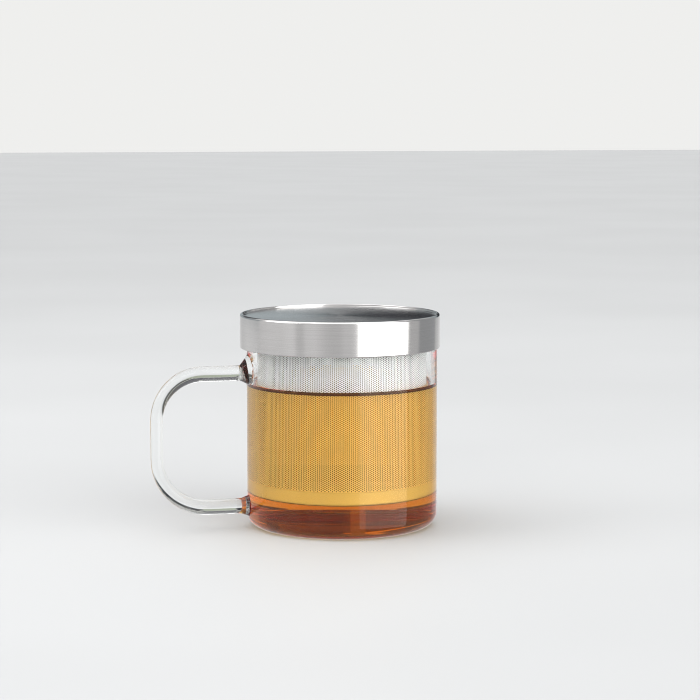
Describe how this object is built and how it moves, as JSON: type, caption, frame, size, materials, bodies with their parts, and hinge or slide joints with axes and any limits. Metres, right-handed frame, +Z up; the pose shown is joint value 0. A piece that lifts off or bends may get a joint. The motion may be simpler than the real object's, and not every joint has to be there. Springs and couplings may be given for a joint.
{
  "type": "lidded tea mug with infuser",
  "caption": "Clear glass tea mug with a bent glass rod handle, a lift-out perforated steel infuser and a flat brushed steel lid that lifts off.",
  "frame": {"origin": "centre of the cup's base on the cup's axis, at the table it stands on", "axes": "+Z up along the cup's axis, the handle points along -X, and the front in the picture is towards -Y"},
  "size_m": [0.1281, 0.088, 0.094],
  "materials": {
    "glass": "gloss",
    "tea": "gloss",
    "infuser_steel": "satin",
    "lid_steel": "satin",
    "liner": "satin",
    "silicone": "matte"
  },
  "bodies": {
    "mug": {"cup_body": "glass", "handle": "glass", "tea": "tea"},
    "infuser": {"infuser_sleeve": "infuser_steel", "infuser_pan": "infuser_steel", "infuser_rim": "infuser_steel"},
    "lid": {"lid_shell": "lid_steel", "lid_liner": "liner", "lid_gasket": "silicone"}
  },
  "joints": [
    {"name": "infuser_lift", "type": "slide", "parent": "mug", "child": "infuser", "axis": [0, 0, 1], "range_m": [0, 0.08]},
    {"name": "lid_lift", "type": "slide", "parent": "infuser", "child": "lid", "axis": [0, 0, 1], "range_m": [0, 0.05]}
  ]
}
